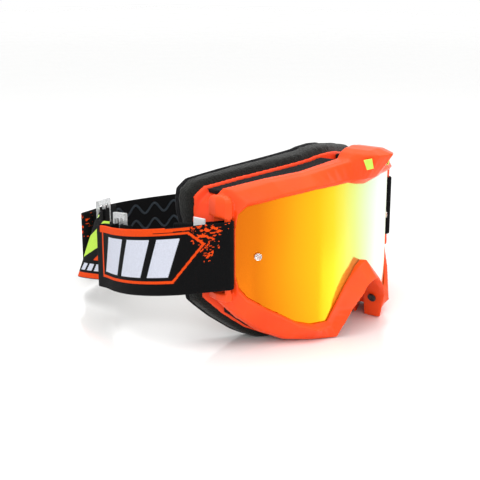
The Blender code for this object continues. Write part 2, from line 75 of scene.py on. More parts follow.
# Strap, as in the solids. Places are seen from above.
BAR_X, BAR_Y, BAR_RADIUS = 98.0, 40.0, 2.2
STRAP_WIDTH, STRAP_THICK = 47.0, 1.6
STRAP_BOTTOM, STRAP_DROOP = 44.5, 0.168
LAYER = 0.4  # gap between the layers of cloth, and between cloth and bar
SEWN_BAR, FRONT_BAR, BAR_HALF, SLIDER_THICK = -10.0, 8.0, 1.5, 2.5
HOOK_RADIUS, HOOK_THICK = 3.3, 1.4
TURN_AT, TURN_RADIUS, TAIL_END = -16.0, 3.05, 24.0
HOOK_TURNS = [250 - 12.5 * i for i in range(21)]  # degrees round a sewn bar
BEHIND_TURN = (-2.0, -11.0)  # on the slider, where the band runs on after its turn
WRAP_END = -175.0  # degrees round the frame's bar
RIGHT_SLIDER = dict(pivot=(-99.0, 147.0), along=(-0.34, -0.94), hand=1)
LEFT_SLIDER = dict(pivot=(-40.0, 232.0), along=(0.95, 0.31), hand=-1)
RIGHT_ROUTE = [(-119.5, 127), (-124.5, 110), (-126, 94), (-124.5, 79), (-120, 65), (-113.5, 53.5)]
LEFT_ROUTE = [(-13, 252.5), (8, 250.5), (26, 240), (43, 222), (60, 197), (76, 168), (90, 137),
              (101, 104), (107, 78), (108, 62), (105.5, 52)]
REAR_ROUTE = [(-91.5, 164), (-88, 180), (-84.5, 193), (-81, 200), (-74, 205), (-64, 211), (-54, 218)]
REAR_LEAN, REAR_INSET = (-10.3, 12.3), 0.5
INNER_ROUTE = [(94.9, 42.2), (96.8, 46.5), (99.4, 51.5), (101.6, 58), (102.4, 65)]
PATCH_LENGTH, PATCH_THICK, PATCH_SPLAY = 19.0, 4.4, -0.5
GAP = 0.3  # between a side band's end and its hem
FINE = 1.6  # about the step along a band's curves
CORNER_RADIUS, CORNER_STEPS, STRAIGHT_ENOUGH = 1.3, 4, 12.0

# Relief and graphics on the bands
RIB_ROOM, RIB_PITCH, RIB_HEIGHT, RIB_INSET = 0.9, 1.9, 0.42, 1.2
PATCH_STEPS, RIB_STEPS = 20, 95
HEM_SEAMS, HEM_MARGIN = (4.7, 12.3), 2.5
REAR_SEAMS, REAR_MARGIN = (3.0, 6.0), 3.0
STITCH_LONG, STITCH_PITCH, STITCH_WIDE, STITCH_HIGH = 2.6, 3.6, 0.75, 0.38
FIGURE_PITCH, STRIPE_END = 48, 22
GRIP_ROWS = (9.5, 23.5, 37.5)
GRIP_TALL, GRIP_PITCH, GRIP_WIDE, GRIP_HIGH = 8.5, 17.0, 2.0, 0.45
GRIP_FROM_TURN, GRIP_FROM_FOLD, GRIP_FROM_HOOK = 8, 24, 9
TIP = 0.35  # size of a raised line's ends, as a share of its middle
SUNK = 0.05  # how deep a raised line starts inside its band
LABEL_THICK = 0.28

ORANGE = (0.92, 0.076, 0.006)
DEEP_ORANGE = (0.86, 0.060, 0.004)
LIME = (0.58, 0.90, 0.10)
PALE = (0.72, 0.75, 0.86)
BLACK = (0.002, 0.002, 0.0023)


def at(x, y, z):
    """A place of the design in the row frame."""
    return ORIGIN + Vector((x, y, z)) * MM


def shaded(colour, factor, lift=0.0):
    return tuple(min(1.0, channel * factor + lift) for channel in colour)


# ---------------------------------------------------------------- materials

class Look:
    """A material, with short calls for the nodes behind its Principled shader."""

    def __init__(self, name, colour, roughness=0.5, **sockets):
        self.material = bpy.data.materials.new(name)
        self.material.use_nodes = True
        self.tree = self.material.node_tree
        self.shader = self.tree.nodes["Principled BSDF"]
        self.set("Base Color", colour)
        self.set("Roughness", roughness)
        for key, value in sockets.items():
            self.set(key.replace("_", " ").title().replace("Ior", "IOR"), value)
        self.place = self.tree.nodes.new("ShaderNodeTexCoord").outputs["Object"]

    def put(self, socket, value):
        if isinstance(value, bpy.types.NodeSocket):
            self.tree.links.new(value, socket)
        elif socket.type == "RGBA":
            socket.default_value = (*value, 1.0)
        else:
            socket.default_value = value

    def set(self, name, value):
        self.put(self.shader.inputs[name], value)

    def node(self, kind, *values, **settings):
        made = self.tree.nodes.new("ShaderNode" + kind)
        for key, value in settings.items():
            setattr(made, key, value)
        for socket, value in zip(made.inputs, values):
            if value is not None:
                self.put(socket, value)
        return made

    def math(self, operation, *values):
        return self.node("Math", *values, operation=operation).outputs[0]

    def vector(self, operation, *values):
        made = self.node("VectorMath", *values, operation=operation)
        return made.outputs["Value" if operation in ("DOT_PRODUCT", "DISTANCE") else "Vector"]

    def noise(self, size, detail=3.0, where=None, roughness=0.5):
        """Noise whose blobs are about so wide, in the unit of its place: metres, or mm on a band."""
        made = self.node("TexNoise")
        self.put(made.inputs["Vector"], where or self.place)
        made.inputs["Scale"].default_value = 1.0 / size
        made.inputs["Detail"].default_value = detail
        made.inputs["Roughness"].default_value = roughness
        return made.outputs["Fac"]

    def cells(self, size, where=None):
        """Distance to the middle of cells that are about so many metres wide."""
        made = self.node("TexVoronoi")
        self.put(made.inputs["Vector"], where or self.place)
        made.inputs["Scale"].default_value = 1.0 / size
        return made.outputs["Distance"]

    def span(self, value, low, high, to_low=0.0, to_high=1.0):
        """The value stretched from one range to another and held inside it."""
        made = self.node("MapRange", value, low, high, to_low, to_high)
        return made.outputs["Result"]

    def mix(self, share, a, b):
        made = self.node("Mix", data_type="RGBA")
        self.put(made.inputs[0], share)
        self.put(made.inputs[6], a)
        self.put(made.inputs[7], b)
        return made.outputs[2]

    def ramp(self, value, stops):
        made = self.node("ValToRGB")
        for position, _ in stops[1:-1]:
            made.color_ramp.elements.new(position)
        for element, (position, colour) in zip(made.color_ramp.elements, stops):
            element.position = position
            element.color = (*colour, 1.0)
        self.put(made.inputs[0], value)
        return made.outputs["Color"]

    def bump(self, height, distance, strength=1.0):
        """Adds to the surface's relief. Distance is in metres."""
        made = self.node("Bump")
        made.inputs["Strength"].default_value = strength
        made.inputs["Distance"].default_value = distance
        self.put(made.inputs["Height"], height)
        before = self.shader.inputs["Normal"].links
        if before:
            self.put(made.inputs["Normal"], before[0].from_socket)
        self.set("Normal", made.outputs["Normal"])

    def uneven_roughness(self, size, low, high):
        """Roughness that drifts between two values, in blobs so many metres wide."""
        self.set("Roughness", self.span(self.noise(size), 0.3, 0.7, low, high))


def moulded(name, base, deep, roughness, grain):
    """Moulded plastic: slight flow marks, fine grain and edges polished paler by handling."""
    look = Look(name, base, roughness, specular_ior_level=0.26, coat_weight=0.03, coat_roughness=0.2)
    flow = look.span(look.noise(0.03, 2.0), 0.35, 0.7)
    body = look.mix(flow, base, deep)
    edge = look.span(look.node("NewGeometry").outputs["Pointiness"], 0.53, 0.62)
    scuffed = look.math("MULTIPLY", edge, look.span(look.noise(0.004), 0.45, 0.7))
    look.set("Base Color", look.mix(scuffed, body, shaded(base, 1.1, 0.05)))
    look.uneven_roughness(0.012, roughness - 0.05, roughness + 0.07)
    look.bump(look.noise(grain, 4.0), 0.00006, 0.6)
    return look.material


# Colours of the coat by the share of the lens's width, from the wearer's right. The orange towards the ends
# is the coat's own colour; the yellow to pale mint-white between is a painted reflection of the bright
# surroundings, fixed on the surface for one view.
COAT_AND_PAINTED_REFLECTION = [
    (0.00, (0.62, 0.135, 0.002)), (0.08, (0.67, 0.17, 0.002)), (0.14, (0.78, 0.26, 0.003)),
    (0.20, (0.83, 0.36, 0.005)), (0.28, (0.83, 0.47, 0.006)), (0.345, (0.78, 0.60, 0.02)),
    (0.40, (0.76, 0.70, 0.08)), (0.47, (0.70, 0.79, 0.23)), (0.56, (0.70, 0.84, 0.54)),
    (0.64, (0.78, 0.86, 0.80)), (0.74, (0.78, 0.87, 0.82)), (0.80, (0.72, 0.84, 0.45)),
    (0.86, (0.77, 0.79, 0.11)), (0.92, (0.83, 0.47, 0.006)), (1.0, (0.67, 0.17, 0.002)),
]


def mirrored_lens():
    """Mirrored polycarbonate. Its colour is fixed across the width, with a painted reflection across the
    middle. A real coat's follows the view.
    """
    look = Look("mirror_coat_painted_reflection", (0.9, 0.5, 0.1), 0.13, metallic=0.82, specular_ior_level=0.3)
    across = look.node("SeparateXYZ", look.place).outputs["X"]
    share = look.span(across, LENS_LOW.x, LENS_HIGH.x)
    drift = look.span(look.noise(0.06, 1.0), 0.3, 0.7, -0.012, 0.012)
    # The ramp gives the coat's orange at the ends and a painted reflection across the middle.
    look.set("Base Color", look.ramp(look.math("ADD", share, drift), COAT_AND_PAINTED_REFLECTION))
    look.bump(look.noise(0.02, 1.0), 0.00003, 0.3)
    return look.material


def foam(name, colour, pore, depth, sheen=0.0):
    """Open-cell foam: rounded pores of two sizes, with painted shade darkening the pits."""
    look = Look(name, colour, 0.95, specular_ior_level=0.2, sheen_weight=sheen)
    wander = look.node("TexNoise", look.place, None, 1.0 / (2 * pore)).outputs["Color"]
    warped = look.vector("ADD", look.place, look.vector("SCALE", wander, None, None, pore * 0.7))
    pits = look.span(look.cells(pore, warped), 0.1, 0.62)
    small = look.span(look.cells(pore * 0.45), 0.1, 0.6)
    both = look.math("MULTIPLY", pits, look.span(small, 0.0, 1.0, 0.6, 1.0))
    # Painted shade: the colour is darker in the pits and paler on the cell walls between them.
    painted_pit_shade = look.mix(both, shaded(colour, 0.35), shaded(colour, 1.35))
    patches = look.math("MULTIPLY", look.span(look.noise(0.015), 0.35, 0.7), 0.5)
    look.set("Base Color", look.mix(patches, painted_pit_shade, shaded(colour, 0.8)))
    look.bump(both, depth, 0.8)
    return look.material


def fleece():
    look = Look("fleece", (0.014, 0.014, 0.015), 1.0, specular_ior_level=0.1, sheen_weight=0.2,
                sheen_roughness=0.4)
    fibres = look.noise(0.0007, 5.0, roughness=0.7)
    nap = look.span(fibres, 0.4, 0.65)
    look.set("Base Color", look.mix(nap, (0.004, 0.004, 0.005), (0.032, 0.032, 0.034)))
    look.bump(look.math("ADD", fibres, look.noise(0.003)), 0.0006, 0.7)
    return look.material


class Weave(Look):
    """Woven elastic. Its texture coordinates are millimetres along and up the band."""

    PITCH_ALONG, PITCH_UP = 1.3, 0.9

    def __init__(self, name):
        super().__init__(name, BLACK, 0.85, specular_ior_level=0.08, sheen_weight=0.02)
        self.where = self.node("UVMap").outputs["UV"]
        self.picks = self.vector("SNAP", self.where, (0.5, 0.5, 1.0))
        self.fuzz = self.noise(0.0006, 4.0)
        self.colour = self.mix(self.span(self.fuzz, 0.35, 0.7), BLACK, shaded(BLACK, 2.0, 0.001))
        split = self.node("SeparateXYZ", self.where).outputs
        along = self.math("SINE", self.math("MULTIPLY", split[0], 2 * math.pi / self.PITCH_ALONG))
        up = self.math("SINE", self.math("MULTIPLY", split[1], 2 * math.pi / self.PITCH_UP))
        self.yarns = self.math("MULTIPLY", along, up)

    def inside(self, corners):
        """How far inside a convex outline the yarn lies, in mm. Corners run either way round."""
        turn = sum(a[0] * b[1] - b[0] * a[1] for a, b in zip(corners, corners[1:] + corners[:1]))
        least = None
        for a, b in zip(corners, corners[1:] + corners[:1]):
            long = math.dist(a, b) * (1 if turn > 0 else -1)
            normal = ((a[1] - b[1]) / long, (b[0] - a[0]) / long, 0.0)
            reach = self.math("SUBTRACT", self.vector("DOT_PRODUCT", self.picks, normal),
                              normal[0] * a[0] + normal[1] * a[1])
            least = reach if least is None else self.math("MINIMUM", least, reach)
        return least

    def paint(self, mask, colour):
        """Lays a colour on the yarns where the mask is 1, darker where they are fuzzy."""
        worn = self.mix(self.span(self.fuzz, 0.3, 0.75), shaded(colour, 0.72), colour)
        self.colour = self.mix(mask, self.colour, worn)

    def fill(self, corners, colour):
        self.paint(self.math("GREATER_THAN", self.inside(corners), 0.0), colour)

    def outline(self, corners, width, colour):
        self.paint(self.math("COMPARE", self.inside(corners), width / 2, width / 2), colour)

    def splatter(self, centre, reach, size, colour, amount):
        """Ragged flecks, thinning out with the distance from a point of the band."""
        far = self.vector("DISTANCE", self.vector("MULTIPLY", self.picks, (1, 1, 0)), (*centre, 0.0))
        near = self.math("SUBTRACT", 1.0, self.math("DIVIDE", far, reach))
        flecks = self.noise(size, 3.0, self.vector("MULTIPLY", self.picks, (1.0, 1.6, 1.0)))
        limit = self.math("SUBTRACT", amount, self.math("MULTIPLY", near, 0.22))
        self.paint(self.math("MULTIPLY", self.math("GREATER_THAN", flecks, limit),
                             self.math("GREATER_THAN", near, 0.0)), colour)

    def done(self):
        self.set("Base Color", self.colour)
        self.bump(self.yarns, 0.00018, 0.7)
        self.bump(self.noise(0.0005, 3.0), 0.00015, 0.5)
        return self.material


def slanted(start, end, low, high, slant):
    """A slanted bar: start and end along the band at its foot, and how far its top leans forward."""
    return [(end, low), (start, low), (start - slant, high), (end - slant, high)]


def moved(points, along):
    return [(along + x, y) for x, y in points]


def side_band_look(name):
    """Graphics of a side band, in mm behind the fold at the frame's bar and mm up."""
    look = Weave(name)
    panel = [(123, 43.2), (28, 43.2), (17, 34), (39, 8.5), (123, 8.5)]
    look.outline(panel, 1.7, ORANGE)
    for start, end in ((94, 118), (66, 88), (43, 60)):
        look.fill(slanted(start, end, 12.5, 39.2, 9), PALE)
    look.fill([(127, 41.6), (80, 42.6), (27, 44.4), (27, 46.0), (80, 47.5), (127, 47.5)], ORANGE)
    look.splatter((16, 42), 17, 3.4, ORANGE, 0.69)
    look.splatter((15, 27), 7, 2.8, ORANGE, 0.68)
    look.splatter((300, 40), 22, 3.4, ORANGE, 0.66)
    return look.done()


def rear_band_look(length):
    """Graphics of the rear band: the same slanted figure twice, over an edge stripe."""
    look = Weave("rear_weave")
    for shift in (length / 2, length / 2 - FIGURE_PITCH):
        look.fill(moved([(41, 36), (34, 47), (19, 47), (-2, 33), (-6, 14)], shift), LIME)
        look.fill(moved([(36, 15), (16, 15), (30, 27)], shift), ORANGE)
        for start in (2, 11, 20, 29):
            look.fill(moved(slanted(start, start + 6, 6.5, 12.5, -2), shift), PALE)
    look.fill(slanted(STRIPE_END, length - STRIPE_END, 0.8, 4.6, 0), ORANGE)
    return look.done()


def clear_plastic():
    look = Look("clear_polycarbonate", (0.93, 0.95, 0.96), 0.08, transmission_weight=0.72, ior=1.58,
                coat_weight=0.3, coat_roughness=0.05)
    look.uneven_roughness(0.004, 0.05, 0.16)
    look.bump(look.noise(0.002), 0.00005, 0.4)
    return look.material


def silicone():
    look = Look("slate_silicone", (0.010, 0.018, 0.026), 0.45, specular_ior_level=0.3)
    look.bump(look.noise(0.0015), 0.00005, 0.4)
    look.uneven_roughness(0.006, 0.3, 0.5)
    return look.material


def thread(name, colour):
    look = Look(name, colour, 0.6, sheen_weight=0.2)
    look.set("Base Color", look.mix(look.noise(0.0005), shaded(colour, 0.6), colour))
    look.bump(look.noise(0.0003), 0.00008, 0.6)
    return look.material


def label_cloth():
    look = Look("label_cloth", (0.86, 0.87, 0.88), 0.85, sheen_weight=0.2)
    look.set("Base Color", look.mix(look.noise(0.002), (0.86, 0.87, 0.88), (0.74, 0.75, 0.77)))
    look.bump(look.noise(0.0003), 0.00008, 0.6)
    return look.material


# ---------------------------------------------------------------- mesh helpers

def piece(name, mesh, look, body, slot, *nodes):
    """A finished piece of a mesh in the row frame: it rides on a body and stands for CAD nodes."""
    mesh.shade_smooth()
    mesh.materials.clear()
    mesh.materials.append(look)
    made = bpy.data.objects.new(name, mesh)
    bpy.context.scene.collection.objects.link(made)
    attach(made, body)
    if nodes:
        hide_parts(*nodes)
    return made


def mesh_of(name, bm):
    bmesh.ops.recalc_face_normals(bm, faces=bm.faces)
    mesh = bpy.data.meshes.new(name)
    bm.to_mesh(mesh)
    bm.free()
    return mesh


def copy_of(node):
    """The node's surface with its faces joined up."""
    bm = bmesh.new()
    bm.from_mesh(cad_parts[node].data)
    bmesh.ops.remove_doubles(bm, verts=bm.verts, dist=WELD * MM)
    bmesh.ops.dissolve_degenerate(bm, edges=bm.edges, dist=WELD * MM)
    return bm


def evaluated(mesh, *steps):
    """The mesh after some modifiers, each a type and its settings."""
    helper = bpy.data.objects.new("helper", mesh)
    bpy.context.scene.collection.objects.link(helper)
    for kind, settings in steps:
        modifier = helper.modifiers.new(kind, kind)
        for key, value in settings.items():
            setattr(modifier, key, value)
    graph = bpy.context.evaluated_depsgraph_get()
    made = bpy.data.meshes.new_from_object(helper.evaluated_get(graph))
    bpy.data.objects.remove(helper)
    return made


def softened(node, voxel, rounds):
    """The node's surface in even quads, its edges rounded off."""
    return evaluated(
        mesh_of(node + "_soft", copy_of(node)),
        ("REMESH", dict(mode="VOXEL", voxel_size=voxel * MM)),
        ("SMOOTH", dict(iterations=rounds, factor=SMOOTHING)),
    )


def rounded_ring(node, levels, rounds):
    """The node's surface divided along its own edges, so that smoothing rounds them evenly."""
    bm = copy_of(node)
    bmesh.ops.dissolve_limit(bm, angle_limit=math.radians(1.5), verts=bm.verts, edges=bm.edges)
    return evaluated(
        mesh_of(node + "_ring", bm),
        ("SUBSURF", dict(subdivision_type="SIMPLE", levels=levels)),
        ("SMOOTH", dict(iterations=rounds, factor=SMOOTHING)),
    )


def add_tube(bm, rings):
    """Adds a tube with closed ends through rings of points in the row frame."""
    rows = [[bm.verts.new(point) for point in ring] for ring in rings]
    count = len(rows[0])
    for here, there in zip(rows, rows[1:]):
        for i in range(count):
            j = (i + 1) % count
            bm.faces.new((here[i], here[j], there[j], there[i]))
    bm.faces.new(rows[0])
    bm.faces.new(rows[-1][::-1])


def turned(name, node, profile, outward, look, slot):
    """A round piece in a node's place, from (radius, height) pairs in mm.

    Its axis is the node's thin direction, turned to the outward side, and it stands on the node's inner face.
    """
    low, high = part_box(node)
    points = np.array([v.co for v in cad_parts[node].data.vertices])
    middle = Vector((low + high) / 2)
    axis = Vector(np.linalg.svd(points - points.mean(0), full_matrices=False)[2][2])
    axis = axis if axis.dot(Vector(outward)) > 0 else -axis
    reach = [Vector(p - np.array(middle)).dot(axis) for p in points]
    foot = middle + axis * min(reach)
    across = axis.orthogonal().normalized()
    up = axis.cross(across)
    turns = [2 * math.pi * i / TURN_STEPS for i in range(TURN_STEPS)]
    bm = bmesh.new()
    add_tube(bm, [[foot + axis * (height * MM) + (across * math.cos(a) + up * math.sin(a)) * (radius * MM)
                   for a in turns] for radius, height in profile])
    piece(name, mesh_of(name, bm), look, "goggle", slot, node)


# ---------------------------------------------------------------- bands

def strap_low(y):
    """Height of the strap's lower edge, which drops towards the back."""
    return STRAP_BOTTOM - STRAP_DROOP * max(0.0, y - BAR_Y)


def smooth(points):
    """Points of a Catmull-Rom curve through the given ones."""
    first = tuple(2 * a - b for a, b in zip(points[0], points[1]))
    last = tuple(2 * a - b for a, b in zip(points[-1], points[-2]))
    spread = [first, *points, last]
    made = []
    for p, a, b, q in zip(spread, spread[1:], spread[2:], spread[3:]):
        count = max(1, round(math.dist(a, b) / FINE))
        for i in range(count):
            t = i / count
            made.append(tuple(
                a[k] + 0.5 * t * (b[k] - p[k] + t * (2 * p[k] - 5 * a[k] + 4 * b[k] - q[k]
                                                    + t * (3 * (a[k] - b[k]) + q[k] - p[k])))
                for k in range(2)
            ))
    return made + [points[-1]]


def rounded(path):
    """The path with its corners rounded."""
    made = [path[0]]
    for a, b, c in zip(path, path[1:], path[2:]):
        before = Vector(a) - Vector(b)
        after = Vector(c) - Vector(b)
        bend = before.angle(-after, 0.0)
        if bend < math.radians(STRAIGHT_ENOUGH):
            made.append(b)
            continue
        start = Vector(b) + before.normalized() * min(CORNER_RADIUS, before.length * 0.45)
        end = Vector(b) + after.normalized() * min(CORNER_RADIUS, after.length * 0.45)
        for i in range(CORNER_STEPS + 1):
            t = i / CORNER_STEPS
            made.append(tuple(start * (1 - t) ** 2 + Vector(b) * (2 * t * (1 - t)) + end * t * t))
    return made + [path[-1]]


def arc(centre, radius, start, end, steps):
    """Points of an arc between two angles in degrees."""
    turns = [math.radians(start + (end - start) * i / steps) for i in range(steps + 1)]
    return [(centre[0] + radius * math.cos(a), centre[1] + radius * math.sin(a)) for a in turns]


def on_slider(slider, along, inward):
    """A place on a slider, from its middle bar: towards the frame, and towards the wearer's head."""
    t = Vector(slider["along"]).normalized()
    n = Vector((-t.y, t.x)) * slider["hand"]
    return tuple(Vector(slider["pivot"]) + t * (along - SEWN_BAR) + n * inward)


def woven_route(slider):
    """A side band's path from its tail, over and under the slider's bars and round its turn."""
    over = SLIDER_THICK / 2 + LAYER + STRAP_THICK / 2
    clear = HOOK_RADIUS + HOOK_THICK / 2 + LAYER + STRAP_THICK / 2
    first, second = FRONT_BAR / 2, (SEWN_BAR + HOOK_RADIUS + HOOK_THICK / 2 - BAR_HALF) / 2
    local = rounded([(TAIL_END, -over), (first, -over), (first, over), (second, over), (second, -clear),
                     (TURN_AT, -clear)])
    turn = arc((TURN_AT, -clear - TURN_RADIUS), TURN_RADIUS, 90, 270, 16)
    return [on_slider(slider, *point) for point in local[:-1] + turn]


def bar_wrap(side, last):
    """The path round the frame's bar, met along its tangent from the last point of the route."""
    radius = BAR_RADIUS + LAYER + STRAP_THICK / 2
    dx, dy = abs(last[0]) - BAR_X, last[1] - BAR_Y
    start = math.degrees(math.atan2(dy, dx) - math.acos(radius / math.hypot(dx, dy)))
    return [(side * x, y) for x, y in arc((BAR_X, BAR_Y), radius, start, WRAP_END, 20)]


class Strip:
    """A band standing on edge along a path seen from above. `outer` is +1 for an outside on its left."""

    ROWS = 16
    INNER_SHIFT = 100  # added to the inner face's texture coordinates, so that it shows no graphics

    def __init__(self, path, thick, low, high, outer):
        self.path = [path[0]] + [b for a, b in zip(path, path[1:]) if math.dist(a, b) > 1e-4]
        self.thick, self.low, self.high, self.outer = thick, low, high, outer
        self.lengths = [0.0]
        for a, b in zip(self.path, self.path[1:]):
            self.lengths.append(self.lengths[-1] + math.dist(a, b))
        self.length = self.lengths[-1]
        self.zero, self.lean = 0.0, None
        self.normals = [self.normal(i) for i in range(len(self.path))]

    def normal(self, i):
        """Mitred sideways direction at a point of the path, to the band's outside."""
        here = Vector(self.path[i])
        before = here - Vector(self.path[i - 1]) if i else None
        after = Vector(self.path[i + 1]) - here if i < len(self.path) - 1 else None
        before, after = (before or after).normalized(), (after or before).normalized()
        tangent = (before + after).normalized()
        reach = 1 / max(0.5, tangent.dot(after))
        return Vector((-tangent.y, tangent.x)) * (reach * self.outer)

    def place(self, along, up, out):
        """The point so far along the band, up from the strap's lower edge and out from its middle layer."""
        i = min(max(bisect.bisect_right(self.lengths, along) - 1, 0), len(self.path) - 2)
        t = (along - self.lengths[i]) / (self.lengths[i + 1] - self.lengths[i])
        spot = Vector(self.path[i]).lerp(Vector(self.path[i + 1]), t)
        side = self.normals[i].lerp(self.normals[i + 1], t)
        where = spot + side * out
        if self.lean:
            where += Vector(self.lean(along / self.length)) * (0.5 - up / STRAP_WIDTH)
        return at(where.x, where.y, strap_low(spot.y) + up)

    def section(self, along, swell):
        """Points round the band: up its outside, over the top edge, down its inside and under."""
        half = self.thick / 2
        tall = self.high - self.low - self.thick
        heights = [self.low + half + tall * j / self.ROWS for j in range(self.ROWS + 1)]
        outside = [(h, half + swell(along, h)) for h in heights]
        inside = [(h, -half - swell(along, h)) for h in reversed(heights)]
        cap = [(math.sin(a) * half, math.cos(a) * half) for a in (math.pi / 4, math.pi / 2, 3 * math.pi / 4)]
        top = [(self.high - half + h, out) for h, out in cap]
        bottom = [(self.low + half - h, -out) for h, out in cap]
        return outside + top + inside + bottom

    def mesh(self, name, swell=lambda along, up: 0.0, stations=None):
        """The band's surface. Its texture coordinates are mm behind the zero point and mm up the band."""
        stations = stations or self.lengths
        sections = [self.section(s, swell) for s in stations]
        bm = bmesh.new()
        add_tube(bm, [[self.place(s, h, out) for h, out in section]
                      for s, section in zip(stations, sections)])
        layer = bm.loops.layers.uv.new("UVMap")
        bm.verts.index_update()
        count = len(sections[0])
        for face in bm.faces:
            ring = {loop.vert.index % count for loop in face.loops}
            shift = 0 if max(ring) <= self.ROWS + 2 else self.INNER_SHIFT
            for loop in face.loops:
                row, spot = divmod(loop.vert.index, count)
                loop[layer].uv = (self.zero - stations[row], sections[row][spot][0] + shift)
        return mesh_of(name, bm)

    def bead(self, bm, points, width, height, face=1):
        """Adds a raised line on the band through (along, up) points. `face` is -1 for the band's inside."""
        turns = [math.pi * i / 6 for i in range(7)]
        rings = []
        for i, (s, h) in enumerate(points):
            a, b = points[max(0, i - 1)], points[min(len(points) - 1, i + 1)]
            long = math.dist(a, b)
            across = (-(b[1] - a[1]) / long, (b[0] - a[0]) / long)
            end = TIP if i in (0, len(points) - 1) else 1.0
            ring = []
            for turn in turns:
                side = math.cos(turn) * width / 2 * end
                lift = math.sin(turn) * height * end + self.thick / 2 - SUNK
                ring.append(self.place(s + across[0] * side, h + across[1] * side, face * lift))
            rings.append(ring)
        add_tube(bm, rings)

    def stitches(self, bm, along, margin, face=1):
        """Adds a row of stitches across the band, so far along it and so far in from its edges."""
        for i in range(int((STRAP_WIDTH - 2 * margin) / STITCH_PITCH)):
            first = margin + i * STITCH_PITCH + 0.5
            line = [(along, first + STITCH_LONG * k / 4) for k in range(5)]
            self.bead(bm, line, STITCH_WIDE, STITCH_HIGH, face)

    def grips(self, start, end):
        """The silicone lines on the band's inside, between two places along it."""
        bm = bmesh.new()
        for middle in GRIP_ROWS:
            line = zigzag(start, end, middle, GRIP_TALL, GRIP_PITCH)
            self.bead(bm, line, GRIP_WIDE, GRIP_HIGH, -1)
        return mesh_of("grip", bm)


def side_strip(side, slider, route):
    """A side band. Its zero point is the front of its fold round the frame's bar."""
    woven = woven_route(slider)
    run = smooth([woven[-1], on_slider(slider, *BEHIND_TURN)] + route)
    wrap = bar_wrap(side, route[-1])
    inner = smooth([wrap[-1]] + [(side * x, y) for x, y in INNER_ROUTE])
    strip = Strip(woven + run[1:] + wrap + inner[1:], STRAP_THICK, 0.0, STRAP_WIDTH, side)
    front = min(range(len(strip.path)), key=lambda i: strip.path[i][1])
    strip.zero = strip.lengths[front]
    strip.turn = strip.lengths[len(woven)]
    return strip


def hook(slider, turns):
    """The rear band's sewn loop round a slider's bar, at the given angles in degrees."""
    made = []
    for degrees in turns:
        a = math.radians(degrees)
        made.append(on_slider(slider, SEWN_BAR + HOOK_RADIUS * math.sin(a), HOOK_RADIUS * math.cos(a)))
    return made


def rear_strip():
    """The rear band. It leans between the sliders, most in its middle."""
    start, end = hook(RIGHT_SLIDER, HOOK_TURNS), hook(LEFT_SLIDER, HOOK_TURNS[::-1])
    middle = smooth([start[-1]] + REAR_ROUTE + [end[0]])
    path = start[:-1] + middle + end[1:]
    strip = Strip(path, HOOK_THICK, REAR_INSET, STRAP_WIDTH - REAR_INSET, 1)
    first, last = strip.lengths[len(start) - 1], strip.lengths[len(start) + len(middle) - 2]

    def lean(share):
        part = min(1.0, max(0.0, (share * strip.length - first) / (last - first)))
        strength = math.sin(math.pi * part) ** 2
        return REAR_LEAN[0] * strength, REAR_LEAN[1] * strength

    strip.lean = lean
    strip.first, strip.last = first, last
    strip.zero = strip.length
    return strip


def zigzag(start, end, middle, tall, pitch):
    """A rounded zigzag in (along, up), with a point about every millimetre."""
    count = int(end - start)
    made = []
    for i in range(count + 1):
        s = start + (end - start) * i / count
        phase = (s - start) / pitch
        wave = abs(2 * (phase - math.floor(phase + 0.5))) * 2 - 1
        made.append((s, middle + tall / 2 * math.sin(wave * math.pi / 2 * 0.92)))
    return made


def build_bands():
    black_thread = thread("black_thread", (0.02, 0.02, 0.022))
    grip = silicone()
    sides = (("right", -1, RIGHT_SLIDER, RIGHT_ROUTE), ("left", 1, LEFT_SLIDER, LEFT_ROUTE))
    for hand, side, slider, route in sides:
        strip = side_strip(side, slider, route)
        body = hand + "_strap"
        name = f"{hand}_band_webbing"
        look = side_band_look(f"{hand}_weave")
        band = piece(name, strip.mesh(name), look, body, "woven_strap", f"{hand}_band")
        lines = strip.grips(strip.turn + GRIP_FROM_TURN, strip.zero - GRIP_FROM_FOLD)
        piece(f"{hand}_grip_lines", lines, grip, body, "woven_strap")
        build_patch(hand, side, black_thread)
    strip = rear_strip()
    band = piece("rear_band_webbing", strip.mesh("rear_band_webbing"), rear_band_look(strip.length),
                 "rear_strap", "woven_strap", "rear_band")
    lines = strip.grips(strip.first + GRIP_FROM_HOOK, strip.last - GRIP_FROM_HOOK)
    piece("rear_grip_lines", lines, grip, "rear_strap", "woven_strap")
    bm = bmesh.new()
    for seam in REAR_SEAMS:
        strip.stitches(bm, strip.first + seam, REAR_MARGIN)
        strip.stitches(bm, strip.last - seam, REAR_MARGIN)
    piece("rear_band_stitches", mesh_of("stitches", bm), black_thread, "rear_strap", "woven_strap")


def build_patch(hand, side, black_thread):
    """The ribbed hem behind the bar, where the band's end is turned in and sewn down."""
    x, y = INNER_ROUTE[-1]
    shares = [i / PATCH_STEPS for i in range(PATCH_STEPS + 1)]
    path = [(side * (x + PATCH_SPLAY * share), y + GAP + PATCH_LENGTH * share) for share in shares]
    strip = Strip(path, PATCH_THICK - RIB_ROOM, 0.0, STRAP_WIDTH, side)
    stations = [strip.length * i / RIB_STEPS for i in range(RIB_STEPS + 1)]

    def ribs(along, up):
        inset = min(1.0, along / RIB_INSET, (strip.length - along) / RIB_INSET)
        return RIB_HEIGHT * abs(math.sin(math.pi * along / RIB_PITCH)) * inset ** 0.5

    hem = piece(f"{hand}_ribbed_hem", strip.mesh("hem", ribs, stations), Weave(f"{hand}_hem_weave").done(),
                hand + "_strap", "woven_strap", f"{hand}_anchor_patch")
    bm = bmesh.new()
    for seam in HEM_SEAMS:
        strip.stitches(bm, seam, HEM_MARGIN, -1)
        strip.stitches(bm, seam, HEM_MARGIN, 1)
    piece(f"{hand}_hem_stitches", mesh_of("stitches", bm), black_thread, hand + "_strap", "woven_strap")


